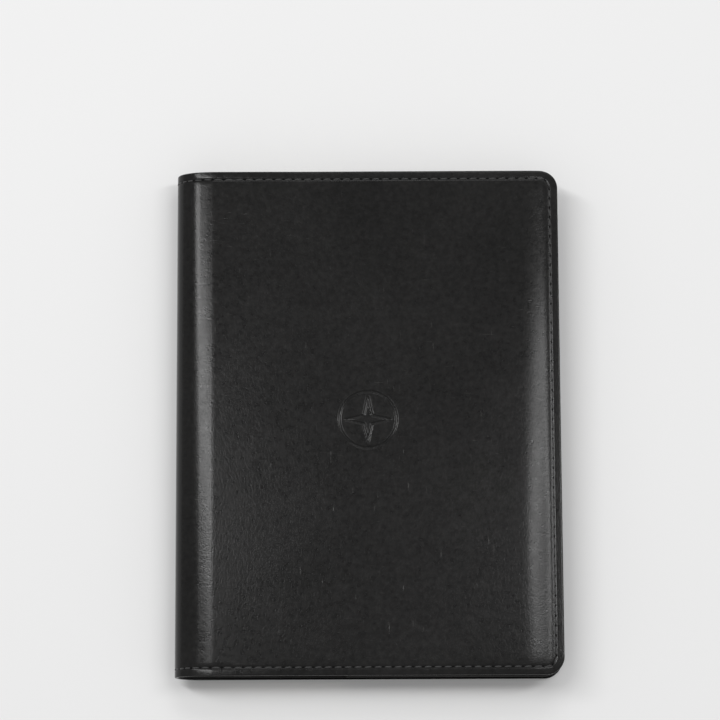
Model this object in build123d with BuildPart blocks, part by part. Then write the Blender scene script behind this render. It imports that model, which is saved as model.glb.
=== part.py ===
from build123d import *

import os
from math import cos, radians, sin

# Pilot logbook: a hard-backed book of sewn sections, held in a wrap-round leather cover.
# Millimetres. +X runs from the spine to the fore-edge, +Y from the tail to the head, +Z is up.
# The closed book lies on its back cover. The origin is the centre of its footprint.

# Leather cover
cover_width = 170.0
cover_height = 225.0
corner_radius = 8.0
leather_thickness = 1.4
lining_thickness = 0.6
edge_round = 0.4
lining_inset = 0.8

# Pockets that hold the boards of the book
pocket_width = 95.0
pocket_thickness = 0.8

# Seam: two runs of thread, one outside and one inside, each laid in a shallow groove
seam_inset = 3.6
thread_width = 0.6
thread_depth = 0.3

# Boards and papers of the book
page_width = 148.0
page_height = 210.0
section_thickness = 1.35
section_fold_round = 0.45  # radius at the fold, as a share of the thickness
sections_per_half = 4
flyleaf_thickness = 0.3
board_thickness = 2.0
board_overhang = 2.0
board_corner_radius = 1.5
pastedown_thickness = 0.2
pastedown_inset = 3.0
spine_board_height = 10.5
spine_board_thickness = 1.0

# Sewing of the sections
sewing_stations = 5
sewing_thread = 0.35
sewing_stitch_length = 9.0
sewing_margin = 20.0

# Flexible folds: the leather bends on these lines. The middle strip of the round spine is cut in two
spine_strips = 5
joint_strip_width = 10.0
opening_past_centre = 1.0  # from the centre of the round spine to the line that the pages turn on

# Clearances
body_gap = 0.3
fold_gap = 0.2
meeting_gap = 0.5
board_clearance = 0.5
pastedown_clearance = 0.05

# Emblem pressed into the front cover: a compass star in a ring
emblem_radius = 13.0
emblem_line = 0.8
emblem_depth = 0.3
star_points = 4
star_point_radius = 10.0
star_waist_radius = 2.6

# Heights of the stack, from the table up to the middle of the pages, and down from the top
lining_low = leather_thickness
board_low = lining_low + lining_thickness
pastedown_low = board_low + board_thickness
pocket_low = pastedown_low + pastedown_thickness + pastedown_clearance
flyleaf_low = pocket_low + pocket_thickness
sections_low = flyleaf_low + flyleaf_thickness
half_pages = sections_per_half * section_thickness
opening_height = sections_low + half_pages + body_gap / 2
book_height = 2 * opening_height + body_gap

# Round spine, and the lines that follow from it
spine_radius = book_height / 2
fore_edge = cover_width / 2
spine_x = -fore_edge + spine_radius
joint_x = spine_x + joint_strip_width
strip_angle = 180.0 / spine_strips
strip_chord = 2 * spine_radius * sin(radians(strip_angle / 2))
fold_turns = [270.0 - strip_angle * count for count in (0, 1, 2, spine_strips / 2, 3, 4, spine_strips)]
lining_radius = spine_radius - leather_thickness
inner_radius = lining_radius - lining_thickness

# The pages turn about a line just outside their sewn folds
opening_x = spine_x - opening_past_centre
thread_x = opening_x + body_gap / 2
sections_x = thread_x + sewing_thread
board_left = joint_x + board_overhang
board_right = sections_x + page_width + board_overhang
board_height = page_height + 2 * board_overhang
pocket_left = fore_edge - pocket_width

os.makedirs("parts", exist_ok=True)


def keep(piece, label):
    piece.part.label = label
    export_step(piece.part, f"parts/{label}.step")


def sheet_face(left, inset, plane):
    """A rectangle from left to the fore-edge, with both fore-edge corners rounded."""
    right = fore_edge - inset
    with BuildSketch(plane) as face:
        with Locations(((left + right) / 2, 0)):
            Rectangle(right - left, cover_height - 2 * inset)
        fillet(face.vertices().group_by(Axis.X)[-1], radius=corner_radius - inset)
    return face


def seam_face(left, plane):
    """The U of thread that runs along the tail, the fore-edge and the head."""
    inner = sheet_face(left, seam_inset + thread_width / 2, plane)
    with BuildSketch(plane) as seam:
        add(sheet_face(left, seam_inset - thread_width / 2, plane).sketch)
        add(inner.sketch, mode=Mode.SUBTRACT)
    return seam


def board_face(left, right, height, plane):
    with BuildSketch(plane) as face:
        with Locations(((left + right) / 2, 0)):
            Rectangle(right - left, height)
    return face


def emblem_face(plane):
    """A ring round a star whose points and waists alternate."""
    with BuildSketch(plane) as emblem:
        Circle(emblem_radius)
        Circle(emblem_radius - emblem_line, mode=Mode.SUBTRACT)
        with BuildLine():
            corners = []
            for step in range(2 * star_points):
                radius = star_waist_radius if step % 2 else star_point_radius
                turn = radians(step * 180.0 / star_points)
                corners.append((radius * cos(turn), radius * sin(turn)))
            Polyline(*corners, close=True)
        make_face()
    return emblem


def cover_leather(left, low, outer):
    """One flat cover: its outer face is at height outer, on the side away from the pages."""
    inward = 1 if outer == low else -1
    seam_plane = Plane.XY.offset(outer)
    with BuildPart() as leather:
        add(sheet_face(left, 0, Plane.XY.offset(low)).sketch)
        extrude(amount=leather_thickness)
        rim = leather.faces().filter_by(Plane.XY).sort_by(Axis.Z)[0 if inward == 1 else -1]
        fold_side = leather.edges().filter_by(Axis.Y).sort_by(Axis.X)[0].center().X
        outer_edges = [edge for edge in rim.edges() if edge.center().X > fold_side + fold_gap]
        fillet(outer_edges, radius=edge_round)
        add(seam_face(left, seam_plane).sketch)
        extrude(amount=inward * thread_depth, mode=Mode.SUBTRACT)
    return leather


def cover_pocket(low, rim_low, inner):
    """A pocket panel, with the border that meets the lining round the board."""
    plane = Plane.XY.offset(rim_low)
    rim_height = board_thickness + pastedown_thickness + pastedown_clearance
    cavity_right = board_right + board_clearance
    cavity_height = board_height + 2 * board_clearance
    outward = -1 if inner > low else 1
    with BuildPart() as pocket:
        add(sheet_face(pocket_left, lining_inset, Plane.XY.offset(low)).sketch)
        extrude(amount=pocket_thickness)
        with BuildSketch(plane):
            add(sheet_face(pocket_left, lining_inset, plane).sketch)
            add(board_face(pocket_left, cavity_right, cavity_height, plane).sketch, mode=Mode.SUBTRACT)
        extrude(amount=rim_height)
        add(seam_face(pocket_left, Plane.XY.offset(inner)).sketch)
        extrude(amount=outward * thread_depth, mode=Mode.SUBTRACT)
    return pocket


def cover_seam(left, outer, inner):
    """Two runs of thread: one in the leather's groove, one in the pocket's groove."""
    inward = 1 if outer < inner else -1
    with BuildPart() as seam:
        add(seam_face(left, Plane.XY.offset(outer)).sketch)
        extrude(amount=inward * thread_depth)
        add(seam_face(pocket_left, Plane.XY.offset(inner)).sketch)
        extrude(amount=-inward * thread_depth)
    return seam


def book_board(low):
    with BuildPart() as board:
        add(board_face(board_left, board_right, board_height, Plane.XY.offset(low)).sketch)
        extrude(amount=board_thickness)
        fillet(board.edges().filter_by(Axis.Z).group_by(Axis.X)[-1], radius=board_corner_radius)
    return board


def book_sheet(left, right, height, low, thickness):
    with BuildPart() as sheet:
        add(board_face(left, right, height, Plane.XY.offset(low)).sketch)
        extrude(amount=thickness)
    return sheet


def spine_strip(number, outer_radius, thickness, height):
    """One strip of the round spine, a sector between two fold lines. Strip 1 starts at the bottom."""
    last_turn, first_turn = fold_turns[number], fold_turns[number - 1]
    cutter = 4 * outer_radius
    with BuildPart() as strip:
        with BuildSketch(Plane.XZ):
            with Locations((spine_x, spine_radius)):
                Circle(outer_radius)
                Circle(outer_radius - thickness, mode=Mode.SUBTRACT)
                for turn, side in ((last_turn, -1), (first_turn, 1)):
                    gap = meeting_gap if turn == 180.0 else fold_gap
                    with Locations(Rotation(0, 0, turn)):
                        with Locations((0, side * (cutter - gap) / 2)):
                            Rectangle(cutter, cutter, mode=Mode.SUBTRACT)
        extrude(amount=height / 2, both=True)
    return strip


def page_section(low):
    """One section of folded leaves, round at its fold."""
    with BuildPart() as section:
        with BuildSketch(Plane.XZ) as profile:
            with Locations((sections_x + page_width / 2, low + section_thickness / 2)):
                Rectangle(page_width, section_thickness)
            fillet(profile.vertices().group_by(Axis.X)[0], radius=section_thickness * section_fold_round)
        extrude(amount=page_height / 2, both=True)
    return section


def section_sewing(low):
    """The thread that ties the folds of one half of the pages, at every station."""
    station_spacing = (page_height - 2 * sewing_margin) / (sewing_stations - 1)
    with BuildPart() as sewing:
        with GridLocations(0, station_spacing, 1, sewing_stations):
            with Locations((thread_x + sewing_thread / 2, 0, low + half_pages / 2)):
                Box(sewing_thread, sewing_stitch_length, half_pages - section_thickness)
    return sewing


# Back cover: leather, lining, pocket and seam
back_leather = cover_leather(spine_x + fold_gap / 2, 0.0, 0.0)
keep(back_leather, "back_leather")

with BuildPart() as back_lining:
    add(sheet_face(spine_x + fold_gap / 2, lining_inset, Plane.XY.offset(lining_low)).sketch)
    extrude(amount=lining_thickness)
keep(back_lining, "back_lining")

back_pocket = cover_pocket(pocket_low, board_low, pocket_low + pocket_thickness)
keep(back_pocket, "back_pocket")

back_seam = cover_seam(spine_x + fold_gap / 2, 0.0, pocket_low + pocket_thickness)
keep(back_seam, "back_seam_thread")

# Front cover: the same pieces, from the top of the book down
front_left = joint_x + fold_gap / 2
front_leather_low = book_height - leather_thickness
front_lining_low = front_leather_low - lining_thickness
front_board_low = front_lining_low - board_thickness
front_pastedown_low = front_board_low - pastedown_thickness
front_pocket_low = front_pastedown_low - pastedown_clearance - pocket_thickness

with BuildPart() as front_leather:
    add(cover_leather(front_left, front_leather_low, book_height).part)
    add(emblem_face(Plane.XY.offset(book_height)).sketch)
    extrude(amount=-emblem_depth, mode=Mode.SUBTRACT)
keep(front_leather, "front_leather")

with BuildPart() as front_lining:
    add(sheet_face(front_left, lining_inset, Plane.XY.offset(front_lining_low)).sketch)
    extrude(amount=lining_thickness)
keep(front_lining, "front_lining")

front_rim_low = front_pocket_low + pocket_thickness
front_pocket = cover_pocket(front_pocket_low, front_rim_low, front_pocket_low)
keep(front_pocket, "front_pocket")

front_seam = cover_seam(front_left, book_height, front_pocket_low)
keep(front_seam, "front_seam_thread")

# Strip of leather and lining between the round spine and the front cover
joint_centre = (spine_x + joint_x) / 2
joint_length = joint_strip_width - fold_gap

with BuildPart() as joint_leather:
    with Locations((joint_centre, 0, front_leather_low + leather_thickness / 2)):
        Box(joint_length, cover_height, leather_thickness)
keep(joint_leather, "joint_leather")

with BuildPart() as joint_lining:
    with Locations((joint_centre, 0, front_lining_low + lining_thickness / 2)):
        Box(joint_length, cover_height - 2 * lining_inset, lining_thickness)
keep(joint_lining, "joint_lining")

# Round spine, cut along its fold lines: strip 1 joins the back cover
for number in range(1, len(fold_turns)):
    leather_strip = spine_strip(number, spine_radius, leather_thickness, cover_height)
    keep(leather_strip, f"spine_leather_{number}")
    lining_height = cover_height - 2 * lining_inset
    lining_strip = spine_strip(number, lining_radius, lining_thickness, lining_height)
    keep(lining_strip, f"spine_lining_{number}")

# Boards of the book, each with the paper pasted on its inside
back_board = book_board(board_low)
keep(back_board, "back_board")

front_board = book_board(front_board_low)
keep(front_board, "front_board")

paste_right = board_right - pastedown_inset
paste_height = board_height - 2 * pastedown_inset
back_pastedown = book_sheet(board_left, paste_right, paste_height, pastedown_low, pastedown_thickness)
keep(back_pastedown, "back_pastedown")

front_pastedown = book_sheet(board_left, paste_right, paste_height, front_pastedown_low, pastedown_thickness)
keep(front_pastedown, "front_pastedown")

# Spine board: a flat strip in the round spine. It swings about the lines board_hinge_x at the bottom and top
board_hinge_x = spine_x - (spine_strips * strip_chord - book_height) / 2
spine_board_left = board_hinge_x + leather_thickness + lining_thickness + body_gap
spine_board_x = spine_board_left + spine_board_thickness / 2

with BuildPart() as spine_board:
    with Locations((spine_board_x, 0, spine_radius)):
        Box(spine_board_thickness, board_height, spine_board_height)
keep(spine_board, "spine_board")

# Pages: the lower half stays on the back cover, the upper half turns with the front cover
page_right = sections_x + page_width
back_flyleaf = book_sheet(sections_x, page_right, page_height, flyleaf_low, flyleaf_thickness)
keep(back_flyleaf, "back_flyleaf")

upper_low = opening_height + body_gap / 2
for number in range(1, 2 * sections_per_half + 1):
    above = number > sections_per_half
    base = upper_low - half_pages if above else sections_low
    section = page_section(base + (number - 1) * section_thickness)
    keep(section, f"page_section_{number}")

front_flyleaf = book_sheet(sections_x, page_right, page_height, upper_low + half_pages, flyleaf_thickness)
keep(front_flyleaf, "front_flyleaf")

lower_sewing = section_sewing(sections_low)
keep(lower_sewing, "lower_sewing_thread")

upper_sewing = section_sewing(upper_low)
keep(upper_sewing, "upper_sewing_thread")
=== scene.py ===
import random
from math import cos, degrees, hypot, pi, radians, sin, sqrt

import bpy
from mathutils import Matrix, Vector


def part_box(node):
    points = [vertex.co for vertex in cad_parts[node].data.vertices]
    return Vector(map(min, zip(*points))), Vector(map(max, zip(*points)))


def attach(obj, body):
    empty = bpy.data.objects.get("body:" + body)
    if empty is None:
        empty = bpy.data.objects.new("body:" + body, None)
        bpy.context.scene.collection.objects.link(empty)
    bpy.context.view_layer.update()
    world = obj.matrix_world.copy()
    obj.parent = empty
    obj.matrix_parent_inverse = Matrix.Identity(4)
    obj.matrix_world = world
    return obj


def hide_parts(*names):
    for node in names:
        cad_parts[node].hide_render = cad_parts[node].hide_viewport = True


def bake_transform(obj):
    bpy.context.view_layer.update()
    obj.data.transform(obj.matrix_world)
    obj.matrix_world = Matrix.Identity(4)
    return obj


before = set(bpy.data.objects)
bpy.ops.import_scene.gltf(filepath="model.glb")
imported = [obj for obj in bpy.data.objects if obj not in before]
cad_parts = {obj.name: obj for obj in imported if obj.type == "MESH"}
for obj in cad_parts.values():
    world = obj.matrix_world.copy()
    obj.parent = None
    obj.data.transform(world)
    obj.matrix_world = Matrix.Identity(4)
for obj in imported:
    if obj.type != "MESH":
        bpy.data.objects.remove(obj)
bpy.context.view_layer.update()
random.seed(11)

mm = 0.001
print("frame loaded")

# Lines of the cover, read from the frame
frontLow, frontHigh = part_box("front_leather")
bookTop = frontHigh.z
foreEdge = frontHigh.x
halfHeight = frontHigh.y
spineRadius = bookTop / 2
spineX = -foreEdge + spineRadius
foldGap = 0.2 * mm  # between the CAD solids at a fold line
jointX = frontLow.x - foldGap / 2
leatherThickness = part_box("back_leather")[1].z
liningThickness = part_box("back_lining")[1].z - leatherThickness
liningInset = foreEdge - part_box("front_lining")[1].x
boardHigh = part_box("front_board")[1]
cornerRadius = 8 * mm
leadIn = 5 * mm  # the bent pieces reach this far into the flat covers


# Shader maths: a wire is one output socket, and sums or products of wires add Math nodes
class Wire:
    def __init__(self, finish, socket):
        self.finish = finish
        self.socket = socket

    def math(self, operation, *others):
        return self.finish.math(operation, self, *others)

    def __add__(self, other):
        return self.math("ADD", other)

    def __sub__(self, other):
        return self.math("SUBTRACT", other)

    def __rsub__(self, other):
        return self.finish.math("SUBTRACT", other, self)

    def __mul__(self, other):
        return self.math("MULTIPLY", other)

    def __truediv__(self, other):
        return self.math("DIVIDE", other)

    def __rtruediv__(self, other):
        return self.finish.math("DIVIDE", other, self)

    __radd__ = __add__
    __rmul__ = __mul__


class Finish:
    def __init__(self, name, constants):
        self.material = bpy.data.materials.new(name)
        self.material.use_nodes = True
        self.tree = self.material.node_tree
        self.shader = self.tree.nodes["Principled BSDF"]
        for socket, value in constants.items():
            self.shader.inputs[socket].default_value = value
        self.place = self.node("ShaderNodeTexCoord", output="Object")

    def node(self, kind, settings=None, inputs=None, output=0):
        made = self.tree.nodes.new(kind)
        for key, value in (settings or {}).items():
            if key == "stops":
                for stop, (position, shade) in zip(made.color_ramp.elements, value):
                    stop.position, stop.color = position, (shade, shade, shade, 1)
            else:
                setattr(made, key, value)
        for key, value in (inputs or {}).items():
            if isinstance(value, Wire):
                self.tree.links.new(value.socket, made.inputs[key])
            else:
                made.inputs[key].default_value = value
        return Wire(self, made.outputs[output])

    def math(self, operation, *values):
        return self.node("ShaderNodeMath", {"operation": operation}, dict(enumerate(values)))

    def noise(self, scale, detail=3, rough=0.55, place=None):
        inputs = {"Vector": place or self.place, "Scale": scale, "Detail": detail, "Roughness": rough}
        return self.node("ShaderNodeTexNoise", None, inputs)

    def cells(self, scale, feature="F1", place=None):
        inputs = {"Vector": place or self.place, "Scale": scale}
        return self.node("ShaderNodeTexVoronoi", {"feature": feature}, inputs, "Distance")

    def ramp(self, value, low, high):
        settings = {"stops": ((low, 0), (high, 1))}
        return self.node("ShaderNodeValToRGB", settings, {"Fac": value})

    def stretched(self, scale, turn=0.0):
        inputs = {"Vector": self.place, "Rotation": (0, 0, turn), "Scale": scale}
        return self.node("ShaderNodeMapping", None, inputs)

    def part(self, vector, axis):
        return self.node("ShaderNodeSeparateXYZ", None, {"Vector": vector}, axis)

    def blendColour(self, share, first, second):
        inputs = {0: share, 6: first, 7: second}
        return self.node("ShaderNodeMix", {"data_type": "RGBA"}, inputs, 2)

    def feed(self, socket, wire):
        self.tree.links.new(wire.socket, self.shader.inputs[socket])

    def bump(self, height, strength, distance):
        inputs = {"Height": height, "Strength": strength, "Distance": distance}
        self.feed("Normal", self.node("ShaderNodeBump", None, inputs))


def grey(value, warm=0.0):
    return (value * (1 + warm), value, value * (1 - warm), 1)


# Short scratches: thin threads of a stretched noise, between two levels
def scratchMask(finish, scratch):
    field = finish.noise(1, 2, 0.5, finish.stretched(scratch["stretch"], scratch["turn"]))
    return finish.ramp(field, *scratch["levels"])


# Smooth black leather: a soft mottle, fine pores, faint creases and short light scratches
def leatherFinish(name, look):
    finish = Finish(name, {"IOR": 1.5, "Specular IOR Level": look["specular"]})
    clouds = finish.noise(look["cloudScale"], 4)
    mottle = finish.noise(look["mottleScale"], 5, 0.62)
    pores = finish.cells(look["poreScale"])
    creasePlace = finish.stretched((1, 0.7, 1), 0.5)
    creases = finish.cells(look["creaseScale"], "DISTANCE_TO_EDGE", creasePlace)
    scratches = scratchMask(finish, look["longScratches"]) + scratchMask(finish, look["crossScratches"])
    tone = finish.ramp(mottle * 0.7 + clouds * 0.3, *look["toneLevels"])
    colour = finish.blendColour(tone, grey(look["dark"], 0.02), grey(look["light"], 0.03))
    colour = finish.blendColour(scratches * look["scratchShare"], colour, grey(look["scratch"], 0.04))
    finish.feed("Base Color", colour)
    lowestRough = look["rough"] - look["roughSpan"] / 2 - look["cloudRough"] / 2
    rough = mottle * look["roughSpan"] + clouds * look["cloudRough"] + lowestRough
    finish.feed("Roughness", rough - scratches * look["scratchPolish"])
    creaseHeight = finish.ramp(creases, 0.0, look["creaseWidth"])
    height = creaseHeight * 0.2 + pores * 0.45 + mottle * 0.6 - scratches * 0.4
    finish.bump(height, look["bump"], look["bumpDepth"])
    return finish.material


coverLook = {"dark": 0.0048, "light": 0.0102, "toneLevels": (0.36, 0.66), "scratch": 0.045,
             "scratchShare": 0.35, "scratchPolish": 0.05, "specular": 0.2, "rough": 0.18,
             "roughSpan": 0.18, "cloudRough": 0.08, "cloudScale": 28, "mottleScale": 480,
             "poreScale": 1500, "creaseScale": 650, "creaseWidth": 0.12, "bump": 0.17,
             "bumpDepth": 0.0002,
             "longScratches": {"stretch": (150, 1500, 300), "turn": 0.7, "levels": (0.725, 0.79)},
             "crossScratches": {"stretch": (1300, 120, 300), "turn": 0.35, "levels": (0.735, 0.80)}}
liningLook = dict(coverLook, dark=0.012, light=0.02, rough=0.62, scratchShare=0.1, creaseScale=900,
                  bump=0.3)
pocketLook = dict(coverLook, dark=0.011, light=0.019, rough=0.52, scratchShare=0.2, mottleScale=500,
                  bump=0.2)
coverLeather = leatherFinish("smooth black cover leather", coverLook)
liningLeather = leatherFinish("matt black lining leather", liningLook)
pocketLeather = leatherFinish("black pocket leather", pocketLook)


# Waxed thread: two plies wound round each other
def threadFinish(name, look):
    finish = Finish(name, {"Sheen Weight": look["sheen"]})
    plies = finish.node("ShaderNodeTexWave", {"bands_direction": "DIAGONAL"},
                        {"Vector": finish.place, "Scale": look["plyScale"], "Distortion": 1.5})
    fuzz = finish.noise(look["fuzzScale"], 3)
    colour = finish.blendColour(plies * 0.6 + fuzz * 0.4, look["dark"], look["light"])
    finish.feed("Base Color", colour)
    finish.feed("Roughness", fuzz * 0.2 + look["rough"])
    finish.bump(plies * 0.7 + fuzz * 0.3, 0.6, 0.0001)
    return finish.material


blackThreadLook = {"dark": grey(0.008), "light": grey(0.036), "rough": 0.38, "sheen": 0.15,
                   "plyScale": 900, "fuzzScale": 5200}
linenThreadLook = {"dark": (0.45, 0.42, 0.35, 1), "light": (0.78, 0.74, 0.64, 1), "rough": 0.6,
                   "sheen": 0.3, "plyScale": 1200, "fuzzScale": 5200}
blackThread = threadFinish("waxed black thread", blackThreadLook)
linenThread = threadFinish("natural linen thread", linenThreadLook)


# Painted shade: a near-black finish that stands for the dark inside of a stitch hole, where two stitches go
# down
def paintedHoleShadeFinish():
    finish = Finish("painted stitch hole shade", {"Specular IOR Level": 0.1})
    finish.feed("Base Color", finish.blendColour(finish.noise(3000), grey(0.001), grey(0.004)))
    finish.feed("Roughness", finish.noise(2500) * 0.2 + 0.75)
    return finish.material


paintedHoleShade = paintedHoleShadeFinish()


# Book cloth: warp and weft over the board
def clothFinish(name, look):
    finish = Finish(name, {"Sheen Weight": 0.25, "Specular IOR Level": 0.3})
    weave = {"Vector": finish.place, "Scale": look["weaveScale"], "Distortion": 0.8, "Detail": 1}
    warp = finish.node("ShaderNodeTexWave", {"bands_direction": "X"}, weave)
    weft = finish.node("ShaderNodeTexWave", {"bands_direction": "Y"}, weave)
    slubs = finish.noise(1, 3, 0.5, finish.stretched(look["slubStretch"]))
    threads = warp * 0.5 + weft * 0.5
    finish.feed("Base Color", finish.blendColour(threads * 0.6 + slubs * 0.4, look["dark"], look["light"]))
    finish.feed("Roughness", slubs * 0.15 + look["rough"])
    finish.bump(threads * 0.8 + slubs * 0.4, 0.5, 0.00015)
    return finish.material


clothLook = {"weaveScale": 420, "slubStretch": (60, 900, 200), "dark": (0.010, 0.013, 0.024, 1),
             "light": (0.040, 0.050, 0.082, 1), "rough": 0.72}
bookCloth = clothFinish("navy book cloth", clothLook)


# Thin lines at even distances, 1 on a line and 0 between
def ruledLines(distance, pitch, width):
    return (distance / pitch).math("FRACT").math("LESS_THAN", width / pitch)


# Ruled lines on the faces that look up or down, within the margin at the head and the tail
def pageRuling(finish, look):
    across = finish.part(finish.place, "X")
    along = finish.part(finish.place, "Y")
    facing = finish.node("ShaderNodeTexCoord", output="Normal")
    flat = finish.part(facing, "Z").math("ABSOLUTE").math("GREATER_THAN", 0.9)
    inside = along.math("ABSOLUTE").math("LESS_THAN", look["ruledHalfHeight"])
    rows = ruledLines(along + look["ruleStart"], look["rowPitch"], look["rowWidth"])
    columns = ruledLines(across + look["ruleStart"], look["columnPitch"], look["columnWidth"])
    return rows.math("MAXIMUM", columns) * flat * inside


# Paper: fibres and a little cockle. Ruled paper also has faint generic lines on its flat faces
def paperFinish(name, look):
    finish = Finish(name, {"Specular IOR Level": 0.25})
    fibres = finish.noise(1, 4, 0.6, finish.stretched((900, 2600, 1200), 0.3))
    clouds = finish.noise(35, 3)
    colour = finish.blendColour(fibres * 0.5 + clouds * 0.5, look["dark"], look["light"])
    if look["ruled"]:
        colour = finish.blendColour(pageRuling(finish, look) * look["inkShare"], colour, look["ink"])
    finish.feed("Base Color", colour)
    finish.feed("Roughness", fibres * 0.12 + 0.78)
    finish.bump(fibres * 0.5 + clouds * 0.5, 0.25, 0.0001)
    return finish.material


pageLook = {"dark": (0.62, 0.59, 0.52, 1), "light": (0.80, 0.77, 0.70, 1), "ruled": True,
            "rowPitch": 7 * mm, "rowWidth": 0.25 * mm, "columnPitch": 21 * mm,
            "columnWidth": 0.35 * mm, "ruleStart": 1.0, "ruledHalfHeight": 94 * mm,
            "ink": (0.24, 0.33, 0.42, 1), "inkShare": 0.55}
endLook = {"dark": (0.42, 0.40, 0.35, 1), "light": (0.56, 0.53, 0.47, 1), "ruled": False}
pagePaper = paperFinish("ruled page paper", pageLook)
endPaper = paperFinish("plain end paper", endLook)
print("finishes made")


def smoothStep(low, high, value):
    share = min(max((value - low) / (high - low), 0.0), 1.0)
    return share * share * (3 - 2 * share)


# How the front of the cover settles: towards the spine, the fore-edge, the head and the tail. The drop
# at the fore-edge wavers along it, and the one at the head and the tail fades out towards the spine
settle = {"spineStart": -67.5 * mm, "spineEnd": -81 * mm, "spineDrop": 1.3 * mm,
          "foreStart": 65.5 * mm, "foreEnd": 80 * mm, "foreDrop": 1.4 * mm,
          "waverMean": 0.62, "waverSwing": 0.38, "waverShift": 0.1, "waverTurn": 1.9,
          "rippleSwing": 0.03, "rippleTurn": 9,
          "sideStart": 103.5 * mm, "sideDrop": 0.4 * mm, "fadeStart": -50 * mm, "fadeEnd": -25 * mm,
          "boardDrop": 0.65 * mm}  # the last: how far the outer face drops at the edge of the board


def frontDrop(x, y):
    spine = settle["spineDrop"] * smoothStep(-settle["spineStart"], -settle["spineEnd"], -x)
    along = min(max(x - settle["foreStart"], 0) / (settle["foreEnd"] - settle["foreStart"]), 1)
    height = y / halfHeight
    waver = settle["waverMean"] + settle["rippleSwing"] * sin(height * settle["rippleTurn"])
    waver += settle["waverSwing"] * cos((height + settle["waverShift"]) * settle["waverTurn"])
    fore = settle["foreDrop"] * waver * smoothStep(0, 1, along * along)
    side = max(abs(y) - settle["sideStart"], 0) / (halfHeight - settle["sideStart"])
    sideShare = smoothStep(settle["fadeStart"], settle["fadeEnd"], x)
    return spine, fore + settle["sideDrop"] * side * side * sideShare


# Over the board the leather is only pressed thinner. Past its edge all layers drop together
def settlePoint(co):
    spine, outer = frontDrop(co.x, co.y)
    beyond = max(outer - settle["boardDrop"], 0)
    pressed = min(max((co.z - boardHigh.z) / (bookTop - boardHigh.z), 0), 1)
    risen = min(max((co.z - spineRadius) / spineRadius, 0), 1)
    return Vector((co.x, co.y, co.z - beyond - (outer - beyond) * pressed - spine * risen))


def settleMesh(piece):
    for vertex in piece.data.vertices:
        vertex.co = settlePoint(vertex.co)


# Small modelling helpers
def newPiece(name):
    piece = bpy.context.object
    piece.name = piece.data.name = name
    return piece


def addPlane(name, corners):
    bpy.ops.object.select_all(action="DESELECT")
    bpy.ops.mesh.primitive_plane_add(size=1)
    piece = newPiece(name)
    for vertex, corner in zip(piece.data.vertices, corners):
        vertex.co = corner
    return piece


# A grid with its lines at the given columns and rows
def addGrid(name, columns, rows):
    bpy.ops.object.select_all(action="DESELECT")
    across, along = len(columns) - 1, len(rows) - 1
    bpy.ops.mesh.primitive_grid_add(x_subdivisions=across, y_subdivisions=along, size=1)
    piece = newPiece(name)
    for vertex in piece.data.vertices:
        column = columns[round((vertex.co.x + 0.5) * across)]
        row = rows[round((vertex.co.y + 0.5) * along)]
        vertex.co = Vector((column, row, 0))
    return piece


def pickFaces(piece, test):
    bpy.ops.object.mode_set(mode="OBJECT")
    for part in (piece.data.vertices, piece.data.edges, piece.data.polygons):
        part.foreach_set("select", [False] * len(part))
    for face in piece.data.polygons:
        face.select = test(face.center, face.normal)
    bpy.context.tool_settings.mesh_select_mode = (False, False, True)
    bpy.ops.object.mode_set(mode="EDIT")


def pickAll(piece):
    pickFaces(piece, lambda centre, normal: True)


def extrudeBy(x=0, z=0, steps=1):
    for _ in range(steps):
        bpy.ops.mesh.extrude_region_move(TRANSFORM_OT_translate={"value": (x / steps, 0, z / steps)})


# Merged points, faces outwards, and smooth shading up to an angle in degrees
def closePiece(piece, angle=40):
    bpy.ops.object.mode_set(mode="EDIT")
    bpy.ops.mesh.select_all(action="SELECT")
    bpy.ops.mesh.remove_doubles(threshold=0.002 * mm)
    bpy.ops.mesh.normals_make_consistent(inside=False)
    bpy.ops.object.mode_set(mode="OBJECT")
    bpy.ops.object.select_all(action="DESELECT")
    piece.select_set(True)
    bpy.context.view_layer.objects.active = piece
    bpy.ops.object.shade_smooth_by_angle(angle=radians(angle))


def joinPieces(name, pieces):
    bpy.ops.object.select_all(action="DESELECT")
    for piece in pieces:
        piece.select_set(True)
    bpy.context.view_layer.objects.active = pieces[0]
    bpy.ops.object.join()
    return newPiece(name)


def finishPiece(piece, material, slotName, *nodes):
    piece.data.materials.clear()
    piece.data.materials.append(material)
    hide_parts(*nodes)
    return piece


# The seam lies in a shallow groove, deepest under the thread
seam = {"inset": 3.6 * mm, "depth": 0.2 * mm, "halfWidth": 0.75 * mm}


def seamGroove(inset):
    away = abs(inset - seam["inset"]) / seam["halfWidth"]
    return (1 - away * away) ** 2 if away < 1 else 0


# Emblem pressed into the front: a compass star in a ring. The leather has a finer mesh round it
emblem = {"ring": 12.6 * mm, "point": 10 * mm, "waist": 2.6 * mm, "points": 4, "halfLine": 0.55 * mm,
          "depth": 0.38 * mm, "bevel": 0.35 * mm, "fineReach": 16 * mm, "fineCuts": 6}


def starCorners():
    corners = []
    for step in range(2 * emblem["points"]):
        radius = emblem["waist"] if step % 2 else emblem["point"]
        turn = step * pi / emblem["points"] + pi / 2
        corners.append(Vector((radius * cos(turn), radius * sin(turn))))
    return corners


starPoints = starCorners()


def lineDistance(spot, first, second):
    run = second - first
    share = min(max((spot - first).dot(run) / run.length_squared, 0), 1)
    return (spot - first - run * share).length


def emblemDepth(x, y):
    if hypot(x, y) > emblem["fineReach"]:
        return 0
    spot = Vector((x, y))
    pairs = zip(starPoints, starPoints[1:] + starPoints[:1])
    near = min(lineDistance(spot, first, second) for first, second in pairs)
    near = min(near, abs(hypot(x, y) - emblem["ring"]))
    return emblem["depth"] * (1 - smoothStep(emblem["halfLine"] - emblem["bevel"], emblem["halfLine"], near))


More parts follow.
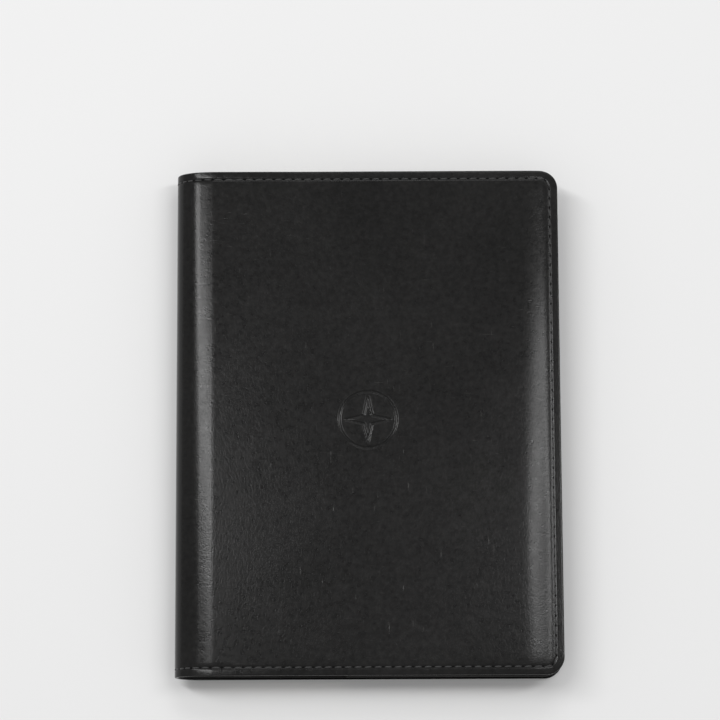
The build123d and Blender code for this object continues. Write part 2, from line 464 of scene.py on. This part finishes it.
# Distances in mm from the edge of a flat sheet to the rows of its mesh, close together at the seam
borderRows = (0, 0.1, 0.25, 0.45, 0.9, 1.6, 2.3, 2.8, 3.1, 3.35, 3.6, 3.85, 4.1, 4.4, 4.9, 5.4, 5.9,
              6.4, 6.9, 7.45, 8)


def sheetRows(low, high, lowBorder, step):
    border = [row * mm for row in borderRows]
    start = [low + row for row in border] if lowBorder else [low]
    end = [high - row for row in reversed(border)]
    count = max(round((end[0] - start[-1]) / step), 1)
    middle = [start[-1] + (end[0] - start[-1]) * n / count for n in range(1, count)]
    return start + middle + end


def roundedCorner(x, y, right, half, radius):
    u, v = x - (right - radius), abs(y) - (half - radius)
    if u <= 0 or v <= 0:
        return x, y
    shrink = max(u, v) / hypot(u, v)
    return right - radius + u * shrink, (half - radius + v * shrink) * (1 if y > 0 else -1)


def edgeInset(x, y, right, half, radius):
    u, v = x - (right - radius), abs(y) - (half - radius)
    if u > 0 and v > 0:
        return radius - hypot(u, v)
    return min(right - x, half - abs(y))


# A flat sheet with round fore-edge corners. Its outer face has the round edge, the groove and the emblem
def flatSheet(name, sheet):
    outline = [line - sheet["inset"] for line in (foreEdge, halfHeight, cornerRadius)]
    right, half = outline[:2]
    columns = sheetRows(sheet["left"], right, sheet.get("mouth", False), sheet["step"])
    piece = addGrid(name, columns, sheetRows(-half, half, True, sheet["step"]))
    for vertex in piece.data.vertices:
        vertex.co = Vector((*roundedCorner(vertex.co.x, vertex.co.y, *outline), sheet["low"]))
    if sheet.get("open"):
        cutLeft, cutHalf = sheet["open"]
        pickFaces(piece, lambda centre, normal: centre.x < cutLeft and abs(centre.y) < cutHalf)
        bpy.ops.mesh.delete(type="FACE")
    if sheet.get("emblem"):
        pickFaces(piece, lambda centre, normal: hypot(centre.x, centre.y) < emblem["fineReach"])
        bpy.ops.mesh.subdivide(number_cuts=emblem["fineCuts"])
    pickAll(piece)
    extrudeBy(z=sheet["thickness"])
    bpy.ops.object.mode_set(mode="OBJECT")
    closePiece(piece)
    shapeOuterFace(piece, sheet, outline)
    return piece


def shapeOuterFace(piece, sheet, outline):
    outwards, roundness = sheet["outwards"], sheet["round"]
    middle = sheet["low"] + sheet["thickness"] / 2
    outer = sheet["low"] + (sheet["thickness"] if outwards > 0 else 0)
    for vertex in piece.data.vertices:
        co = vertex.co
        if (co.z - middle) * outwards <= 0:
            continue
        inset = edgeInset(co.x, co.y, *outline)
        if sheet.get("mouth"):
            inset = min(inset, co.x - sheet["left"])
        sink = sheet.get("seamDepth", 0) * seamGroove(inset + sheet["inset"])
        if inset < roundness:
            sink += roundness - sqrt(max(roundness**2 - (roundness - inset) ** 2, 0))
        if sheet.get("emblem"):
            sink += emblemDepth(co.x, co.y)
        co.z = outer - outwards * sink


# Flat covers: leather and lining of the back, then of the front
coverSheet = {"step": 2.6 * mm, "round": 0.45 * mm, "thickness": leatherThickness, "inset": 0}
liningSheet = dict(coverSheet, step=6 * mm, round=0.15 * mm, thickness=liningThickness, inset=liningInset)
backFlatLeft = spineX + leadIn
frontFlatLeft = jointX + leadIn

backCover = flatSheet("backLeather", dict(coverSheet, left=backFlatLeft, low=0.0, outwards=-1,
                                          seamDepth=seam["depth"], step=4 * mm))
finishPiece(backCover, coverLeather, "cover_leather", "back_leather")
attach(backCover, "back_cover")

frontCover = flatSheet("frontLeather", dict(coverSheet, left=frontFlatLeft, low=frontLow.z, outwards=1,
                                            seamDepth=seam["depth"], emblem=True))
settleMesh(frontCover)
finishPiece(frontCover, coverLeather, "cover_leather", "front_leather")
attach(frontCover, "front_cover")

backLining = flatSheet("backLining", dict(liningSheet, left=backFlatLeft, low=leatherThickness, outwards=1))
finishPiece(backLining, liningLeather, "lining_leather", "back_lining")
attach(backLining, "back_cover")

frontLining = flatSheet("frontLining", dict(liningSheet, left=frontFlatLeft, outwards=-1,
                                            low=frontLow.z - liningThickness))
settleMesh(frontLining)
finishPiece(frontLining, liningLeather, "lining_leather", "front_lining")
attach(frontLining, "front_cover")
print("covers and linings made")


# Pockets: a panel and, under its border, the filler that meets the lining
pocketLow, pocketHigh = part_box("back_pocket")
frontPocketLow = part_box("front_pocket")[0]
panelThickness = 0.8 * mm
boardSpace = 0.5 * mm  # between the board and the filler round it
fillerOpen = (boardHigh.x + boardSpace, boardHigh.y + boardSpace)
panelSheet = {"left": pocketLow.x, "step": 4 * mm, "inset": liningInset, "round": 0.3 * mm,
              "thickness": panelThickness, "mouth": True, "seamDepth": seam["depth"]}
fillerSheet = {"left": pocketLow.x, "step": 4 * mm, "inset": liningInset, "round": 0.15 * mm,
               "thickness": pocketHigh.z - pocketLow.z - panelThickness, "open": fillerOpen}


def makePocket(side, panelLow, fillerLow, outwards, settled):
    panel = flatSheet(f"{side}PocketPanel", dict(panelSheet, low=panelLow, outwards=outwards))
    filler = flatSheet(f"{side}PocketFiller", dict(fillerSheet, low=fillerLow, outwards=-outwards))
    for piece in (panel, filler):
        if settled:
            settleMesh(piece)
        finishPiece(piece, pocketLeather, "pocket_leather", f"{side}_pocket")
        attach(piece, f"{side}_cover")


makePocket("back", pocketHigh.z - panelThickness, pocketLow.z, 1, False)
makePocket("front", frontPocketLow.z, frontPocketLow.z + panelThickness, -1, True)
print("pockets made")


# Rows across a bent piece, in mm from its ends, close together under the seam
bandRows = (0.6, 1.2, 2.6, 3.1, 3.35, 3.6, 3.85, 4.1, 4.6, 6, 12, 40)


def cutRows(piece, half):
    pickAll(piece)
    for row in bandRows:
        for side in (-1, 1):
            bpy.ops.mesh.select_all(action="SELECT")
            bpy.ops.mesh.bisect(plane_co=(0, side * (half - row * mm), 0), plane_no=(0, 1, 0))
    bpy.ops.object.mode_set(mode="OBJECT")


outerSkin = 0.05 * mm  # points this near the outer face are on it


# The seam's groove in the outer face of a bent piece
def sinkSeam(piece):
    for vertex in piece.data.vertices:
        co = vertex.co
        sink = seam["depth"] * seamGroove(halfHeight - abs(co.y))
        outwards = Vector((min(co.x - spineX, 0), 0, co.z - spineRadius))
        if sink and outwards.length > spineRadius - outerSkin:
            vertex.co = co - outwards.normalized() * sink


# The end of a strip, with its four corners rounded, ready to be extruded or spun
def stripEnd(name, corners, roundness):
    piece = addPlane(name, corners)
    bpy.ops.object.mode_set(mode="EDIT")
    bpy.ops.mesh.select_all(action="SELECT")
    bpy.context.tool_settings.mesh_select_mode = (True, False, False)
    bpy.ops.mesh.bevel(offset=roundness, segments=3, affect="VERTICES")
    pickAll(piece)
    return piece


def closeStrip(piece, strip):
    cutRows(piece, strip["half"])
    if strip["seam"]:
        sinkSeam(piece)
    closePiece(piece)
    settleMesh(piece)


# A turn is in degrees round the spine: 270 at its lowest line, 180 at the middle and 90 at its highest
def ringPoint(turn, radius, y=0.0):
    return Vector((spineX + radius * cos(radians(turn)), y, spineRadius + radius * sin(radians(turn))))


# Each bent piece reaches over a fold, and the first and the last reach into the flat covers. Each also
# lists two blend turns and two bodies, but no piece is attached to these bodies or blended between them
bends = [{"turns": (270, 252), "blend": (270, 252), "bodies": ("back_cover", "spine_strip_1")},
         {"turns": (252, 216), "blend": (252, 216), "bodies": ("spine_strip_1", "spine_strip_2")},
         {"turns": (216, 180), "blend": (210, 184), "bodies": ("spine_strip_2", "spine_strip_3")},
         {"turns": (180, 144), "blend": (150, 176), "bodies": ("spine_strip_5", "spine_strip_4")},
         {"turns": (144, 108), "blend": (108, 144), "bodies": ("spine_strip_6", "spine_strip_5")},
         {"turns": (108, 90), "blend": (90, 108), "bodies": ("joint_strip", "spine_strip_6")}]
for bend in bends:
    bend["before"] = leadIn if bend is bends[0] else 0
    bend["after"] = leadIn if bend is bends[-1] else 0

leatherStrip = {"thickness": leatherThickness, "radius": spineRadius, "half": halfHeight,
                "round": 0.4 * mm, "seam": True, "leadSteps": 4, "stepTurn": 1.8, "jointSteps": 16}
liningStrip = dict(leatherStrip, thickness=liningThickness, radius=spineRadius - leatherThickness,
                   half=halfHeight - liningInset, round=0.1 * mm, seam=False)


def bentPiece(name, bend, strip):
    first, last = bend["turns"]
    half, outer = strip["half"], strip["radius"]
    lead = Vector((bend["before"], 0, 0))
    corners = [ringPoint(first, radius, y) + lead
               for radius in (outer, outer - strip["thickness"]) for y in (-half, half)]
    piece = stripEnd(name, corners, strip["round"])
    if bend["before"]:
        extrudeBy(x=-bend["before"], steps=strip["leadSteps"])
        pickFaces(piece, lambda centre, normal: abs(centre.x - spineX) < outerSkin and abs(normal.x) > 0.9)
    bpy.ops.mesh.spin(steps=round((first - last) / strip["stepTurn"]), angle=radians(last - first),
                      center=(spineX, 0, spineRadius), axis=(0, 1, 0))
    if bend["after"]:
        extrudeBy(x=bend["after"], steps=strip["leadSteps"])
    closeStrip(piece, strip)
    return piece


def blendAcross(piece, bend):
    start, end = (ringPoint(turn, spineRadius) for turn in bend["blend"])
    start.x += bend["before"] + bend["after"]
    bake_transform(piece)


def makeSpine(word, strip, material, slotName, nodeWord):
    for number, bend in enumerate(bends, 1):
        piece = bentPiece(f"spine{word}{number}", bend, strip)
        finishPiece(piece, material, slotName, f"spine_{nodeWord}_{number}")
        blendAcross(piece, bend)


makeSpine("Leather", leatherStrip, coverLeather, "cover_leather", "leather")
makeSpine("Lining", liningStrip, liningLeather, "lining_leather", "lining")


# The joint: a flat strip where the front cover folds back
jointLeft = spineX + leadIn
jointRight = jointX + leadIn


def blendJoint(piece):
    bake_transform(piece)


def makeJoint(word, strip, material, slotName, node):
    low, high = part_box(node)
    half = strip["half"]
    corners = [Vector((jointLeft, y, z)) for z in (low.z, high.z) for y in (-half, half)]
    piece = stripEnd(f"joint{word}", corners, strip["round"])
    extrudeBy(x=jointRight - jointLeft, steps=strip["jointSteps"])
    closeStrip(piece, strip)
    finishPiece(piece, material, slotName, node)
    blendJoint(piece)


makeJoint("Leather", leatherStrip, coverLeather, "cover_leather", "joint_leather")
makeJoint("Lining", liningStrip, liningLeather, "lining_leather", "joint_lining")
print("spine and joint made")


# Stitches: one is modelled, then copied along each seam, with a dark dot of painted shade at the hole
# between each two
stitch = {"pitch": 4.35 * mm, "length": 3.1 * mm, "width": 0.6 * mm, "height": 0.5 * mm, "slant": 4,
          "slantJitter": 2, "sag": 0.32, "taper": 0.4}
# Size of each dark dot that carries the painted shade of a stitch hole
hole = {"length": 1.35 * mm, "width": 0.95 * mm, "depth": 0.22 * mm}


def makeStitch():
    bpy.ops.object.select_all(action="DESELECT")
    bpy.ops.mesh.primitive_uv_sphere_add(segments=8, ring_count=6, radius=0.5)
    piece = newPiece("oneStitch")
    for vertex in piece.data.vertices:
        x, y, z = vertex.co.z * 2, vertex.co.x, vertex.co.y
        full = (1 - abs(x) ** 3) ** stitch["taper"] if abs(x) < 1 else 0
        share = full / 2 / (hypot(y, z) or 1)
        sag = stitch["sag"] * x * x  # both ends dive into the leather
        vertex.co = Vector((x * stitch["length"] / 2, y * share * stitch["width"],
                            (z * share - sag) * stitch["height"]))
    return piece


# A flat dark dot, sunk in the leather, that carries the painted shade of a stitch hole
def makePaintedHoleShade():
    bpy.ops.object.select_all(action="DESELECT")
    bpy.ops.mesh.primitive_uv_sphere_add(segments=8, ring_count=4, radius=0.5)
    piece = newPiece("onePaintedHoleShade")
    size = Vector((hole["length"], hole["width"], hole["depth"]))
    for vertex in piece.data.vertices:
        vertex.co = vertex.co * size
    return piece


# Lifts are out of the leather, from the seam's line. The dots of painted hole shade are half a stitch away
# from the threads
seamParts = {"Thread": {"pattern": makeStitch(), "shift": 0.5, "material": blackThread,
                        "flatLift": -0.02 * mm, "bentLift": 0, "jointLift": -0.1 * mm},
             "PaintedHoleShades": {"pattern": makePaintedHoleShade(), "shift": 0.0, "material": paintedHoleShade,
                       "flatLift": -0.08 * mm, "bentLift": -0.02 * mm, "jointLift": -0.02 * mm}}


# The U of the seam, as points and headings at even distances from its tail end
def seamPlaces(left, shift):
    right, half, radius = (line - seam["inset"] for line in (foreEdge, halfHeight, cornerRadius))
    straight = right - radius - left
    rise = 2 * (half - radius)
    arc = radius * pi / 2
    total = 2 * straight + 2 * arc + rise
    count = round(total / stitch["pitch"])
    places = []
    for n in range(count):
        run = (n + shift) * total / count
        if run < straight:
            places.append((left + run, -half, 0))
        elif run < straight + arc:
            turn = (run - straight) / radius
            places.append((right - radius + radius * sin(turn), -half + radius - radius * cos(turn), turn))
        elif run < straight + arc + rise:
            places.append((right, -half + radius + run - straight - arc, pi / 2))
        elif run < straight + 2 * arc + rise:
            turn = (run - straight - arc - rise) / radius
            places.append((right - radius + radius * cos(turn), half - radius + radius * sin(turn),
                           pi / 2 + turn))
        else:
            places.append((right - radius - (run - straight - 2 * arc - rise), half, pi))
    return places


def gather(name, pattern, matrices):
    copies = []
    for matrix in matrices:
        copy = pattern.copy()
        copy.data = pattern.data.copy()
        copy.data.transform(matrix)
        bpy.context.scene.collection.objects.link(copy)
        copies.append(copy)
    piece = joinPieces(name, copies)
    bpy.ops.object.shade_smooth()
    return piece


# A stitch follows the leather under it: it is dropped as the leather settles
def flatSeam(name, left, height, upwards, settled, body, nodes):
    for word, part in seamParts.items():
        matrices = []
        for x, y, heading in seamPlaces(left, part["shift"]):
            if word == "Thread":
                slant = stitch["slant"] + random.uniform(-stitch["slantJitter"], stitch["slantJitter"])
                heading += radians(slant)
            spot = Vector((x, y, height))
            if settled:
                spot = settlePoint(spot)
            spot.z += upwards * part["flatLift"]
            flip = Matrix.Scale(upwards, 4, (0, 0, 1))
            matrices.append(Matrix.Translation(spot) @ Matrix.Rotation(heading, 4, "Z") @ flip)
        piece = gather(f"{name}{word}", part["pattern"], matrices)
        if upwards < 0:
            closePiece(piece, 60)
        finishPiece(piece, part["material"], "seam_thread", *nodes)
        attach(piece, body)


stitchSink = 0.1 * mm
backStitchSink = 0.25 * mm  # deeper, because the closed book lies on these
pocketSeamLeft = pocketLow.x + 1 * mm
flatSeam("frontSeam", frontFlatLeft, bookTop - stitchSink, 1, True, "front_cover", ["front_seam_thread"])
flatSeam("backSeam", backFlatLeft, backStitchSink, -1, False, "back_cover", ["back_seam_thread"])
flatSeam("frontPocketSeam", pocketSeamLeft, frontPocketLow.z + stitchSink, -1, True, "front_cover",
         ["front_seam_thread"])
flatSeam("backPocketSeam", pocketSeamLeft, pocketHigh.z - stitchSink, 1, False, "back_cover",
         ["back_seam_thread"])
print("flat seams made")


# The place and tilt of a stitch, at a distance along a bent piece from its first end
def bendPlace(bend, run, total, lift):
    first = bend["turns"][0]
    if run < bend["before"]:
        return Vector((spineX + bend["before"] - run, 0, stitchSink - lift)), pi
    if run > total - bend["after"]:
        return Vector((spineX + run - total + bend["after"], 0, bookTop - stitchSink + lift)), 0
    turn = first - degrees((run - bend["before"]) / (spineRadius - stitchSink))
    return ringPoint(turn, spineRadius - stitchSink + lift), radians(turn - 90)


# Seams over the spine's ends, one piece for each bend
def bentSeam(number, bend):
    first, last = bend["turns"]
    total = bend["before"] + (spineRadius - stitchSink) * radians(first - last) + bend["after"]
    count = round(total / stitch["pitch"])
    for word, part in seamParts.items():
        matrices = []
        for n in range(count):
            spot, tilt = bendPlace(bend, (n + part["shift"]) * total / count, total, part["bentLift"])
            for side in (-1, 1):
                place = settlePoint(spot + Vector((0, side * (halfHeight - seam["inset"]), 0)))
                matrices.append(Matrix.Translation(place) @ Matrix.Rotation(-tilt, 4, "Y"))
        piece = gather(f"spineSeam{word}{number}", part["pattern"], matrices)
        finishPiece(piece, part["material"], "seam_thread", "front_seam_thread", "back_seam_thread")
        blendAcross(piece, bend)


def jointSeam():
    span = jointRight - jointLeft
    count = round(span / stitch["pitch"])
    for word, part in seamParts.items():
        matrices = []
        for n in range(count):
            x = jointLeft + (n + part["shift"]) * span / count
            for side in (-1, 1):
                spot = settlePoint(Vector((x, side * (halfHeight - seam["inset"]), bookTop)))
                matrices.append(Matrix.Translation(spot + Vector((0, 0, part["jointLift"]))))
        piece = gather(f"jointSeam{word}", part["pattern"], matrices)
        finishPiece(piece, part["material"], "seam_thread", "front_seam_thread")
        blendJoint(piece)


for number, bend in enumerate(bends, 1):
    bentSeam(number, bend)
jointSeam()
for part in seamParts.values():
    bpy.data.objects.remove(part["pattern"])
print("bent seams made")


# Boards and spine board keep their CAD shape, covered in cloth
for node in ("back_board", "front_board", "spine_board"):
    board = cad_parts[node]
    board.data.materials.clear()
    board.data.materials.append(bookCloth)


# Single papers: thin sheets with a slight cockle. The shares are of the CAD sheet's thickness
cockle = {"columns": 24, "rows": 32, "thicknessShare": 0.7, "liftShare": 0.15, "waveShare": 0.13,
          "turnX": 90, "turnY": 60}


def paperSheet(name, node, body):
    low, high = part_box(node)
    size = high - low
    columns = [low.x + size.x * n / cockle["columns"] for n in range(cockle["columns"] + 1)]
    rows = [low.y + size.y * n / cockle["rows"] for n in range(cockle["rows"] + 1)]
    piece = addGrid(name, columns, rows)
    for vertex in piece.data.vertices:
        wave = sin(vertex.co.x * cockle["turnX"]) * cos(vertex.co.y * cockle["turnY"])
        vertex.co.z = low.z + size.z * (cockle["liftShare"] + cockle["waveShare"] * wave)
    pickAll(piece)
    extrudeBy(z=size.z * cockle["thicknessShare"])
    bpy.ops.object.mode_set(mode="OBJECT")
    closePiece(piece)
    finishPiece(piece, endPaper, "end_paper", node)
    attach(piece, body)


paperSheet("backPastedown", "back_pastedown", "back_cover")
paperSheet("frontPastedown", "front_pastedown", "front_cover")
paperSheet("backFlyleaf", "back_flyleaf", "back_cover")
paperSheet("frontFlyleaf", "front_flyleaf", "upper_pages")


# Page sections: folded sheets nested in one another
pages = {"sectionsPerHalf": 4, "sheets": 6, "gap": 0.08, "foreJitter": 0.28 * mm,
         "headJitter": 0.12 * mm, "foldSteps": 8}


def foldedSheet(name, low, high, depth, thickness):
    middle = (low.z + high.z) / 2
    foldX = low.x + (high.z - low.z) / 2
    base = low.z + depth
    half = high.y - random.uniform(0, pages["headJitter"])
    right = high.x - random.uniform(0, pages["foreJitter"])
    corners = [Vector((right, y, z)) for z in (base, base + thickness) for y in (-half, half)]
    piece = addPlane(name, corners)
    pickAll(piece)
    extrudeBy(x=foldX - right)
    bpy.ops.mesh.spin(steps=pages["foldSteps"], angle=-pi, center=(foldX, 0, middle), axis=(0, 1, 0))
    extrudeBy(x=right - foldX)
    bpy.ops.object.mode_set(mode="OBJECT")
    closePiece(piece)
    return piece


def pageSection(number):
    node = f"page_section_{number}"
    low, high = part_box(node)
    thickness = (high.z - low.z) / 2 / pages["sheets"]
    sheets = [foldedSheet(f"leaf{number}_{n}", low, high, n * thickness, thickness * (1 - pages["gap"]))
              for n in range(pages["sheets"])]
    piece = joinPieces(f"pageSection{number}", sheets)
    finishPiece(piece, pagePaper, "page_paper", node)
    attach(piece, "back_cover" if number <= pages["sectionsPerHalf"] else "upper_pages")


for number in range(1, 2 * pages["sectionsPerHalf"] + 1):
    pageSection(number)
print("papers and page sections made")


# Sewing: a strand along each fold at each station, and two that cross from each fold to the next
sewing = {"stations": 5, "length": 9 * mm, "sides": 8, "strandShare": 0.9, "crossShare": 0.8,
          "crossInset": 0.33 * mm, "crossLean": 0.25}


def addStrand(radius, length, place, turn):
    bpy.ops.object.select_all(action="DESELECT")
    bpy.ops.mesh.primitive_cylinder_add(vertices=sewing["sides"], radius=radius, depth=length,
                                        location=place, rotation=(turn, 0, 0))
    return bpy.context.object


def sectionFold(number):
    low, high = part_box(f"page_section_{number}")
    return (low.z + high.z) / 2


def sewingThread(name, node, firstSection, body):
    low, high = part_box(node)
    radius = (high.x - low.x) / 2
    centreX = (low.x + high.x) / 2
    spacing = (high.y - low.y - sewing["length"]) / (sewing["stations"] - 1)
    folds = [sectionFold(firstSection + n) for n in range(pages["sectionsPerHalf"])]
    strands = []
    for station in range(sewing["stations"]):
        middle = low.y + sewing["length"] / 2 + station * spacing
        for fold in folds:
            strands.append(addStrand(radius * sewing["strandShare"], sewing["length"],
                                     (centreX, middle, fold), pi / 2))
        for side in (-1, 1):
            y = middle + side * (sewing["length"] / 2 - sewing["crossInset"])
            for lower, upper in zip(folds, folds[1:]):
                strands.append(addStrand(radius * sewing["crossShare"], upper - lower,
                                         (centreX, y, (lower + upper) / 2), side * sewing["crossLean"]))
    piece = joinPieces(name, strands)
    bpy.ops.object.transform_apply(location=True, rotation=True, scale=True)
    bpy.ops.object.shade_smooth_by_angle(angle=radians(50))
    finishPiece(piece, linenThread, "sewing_thread", node)
    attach(piece, body)


sewingThread("lowerSewing", "lower_sewing_thread", 1, "back_cover")
sewingThread("upperSewing", "upper_sewing_thread", 1 + pages["sectionsPerHalf"], "upper_pages")
print("sewing made")


# Floor, light and camera
floorLook = {"span": 6.0, "height": -0.15 * mm}  # the stitches below the back cover lie on it
softBoxes = {"leftBox": {"place": (-0.66, 0.34, 1.42), "size": (0.15, 1.0), "power": 8.5},
             "rightBox": {"place": (0.62, 0.22, 1.40), "size": (0.13, 0.8), "power": 4.8},
             "headBox": {"place": (0.15, 1.30, 1.70), "size": (1.0, 0.5), "power": 5}}
roomLight = 0.52
view = {"elevation": 80.5, "distance": 1.42, "lens": 160, "aimX": -3.4 * mm, "aimY": 28.7 * mm, "roll": -1.0}


def makeFloor():
    bpy.ops.object.select_all(action="DESELECT")
    bpy.ops.mesh.primitive_plane_add(size=floorLook["span"])
    piece = newPiece("floor")
    piece.location.z = floorLook["height"]
    finish = Finish("pale floor", {"Specular IOR Level": 0.1})
    finish.feed("Base Color", finish.blendColour(finish.noise(3), grey(0.80), grey(0.81)))
    finish.feed("Roughness", finish.noise(20) * 0.05 + 0.85)
    piece.data.materials.append(finish.material)
    return piece


def softBox(name, box):
    light = bpy.data.lights.new(name, "AREA")
    light.shape = "RECTANGLE"
    light.size, light.size_y = box["size"]
    light.energy = box["power"]
    lamp = bpy.data.objects.new(name, light)
    lamp.location = box["place"]
    lamp.rotation_euler = Vector(box["place"]).to_track_quat("Z", "Y").to_euler()
    bpy.context.scene.collection.objects.link(lamp)
    return lamp


floor = makeFloor()
lamps = [softBox(name, box) for name, box in softBoxes.items()]

room = bpy.data.worlds.new("paleRoom")
room.use_nodes = True
room.node_tree.nodes["Background"].inputs["Color"].default_value = (1, 1, 1, 1)
room.node_tree.nodes["Background"].inputs["Strength"].default_value = roomLight
bpy.context.scene.world = room
bpy.context.scene.view_settings.view_transform = "Standard"

cameraData = bpy.data.cameras.new("camera")
cameraData.lens = view["lens"]
cameraData.clip_start, cameraData.clip_end = 0.05, 20
camera = bpy.data.objects.new("camera", cameraData)
bpy.context.scene.collection.objects.link(camera)
rise = radians(view["elevation"])
bookCentre = Vector((0, 0, bookTop / 2))
camera.location = bookCentre + Vector((0, -cos(rise), sin(rise))) * view["distance"]
aim = bookCentre + Vector((view["aimX"], view["aimY"], 0))
toAim = (aim - camera.location).to_track_quat("-Z", "Y")
camera.rotation_euler = (toAim.to_matrix() @ Matrix.Rotation(radians(view["roll"]), 3, "Z")).to_euler()
bpy.context.scene.camera = camera
print("stage set")
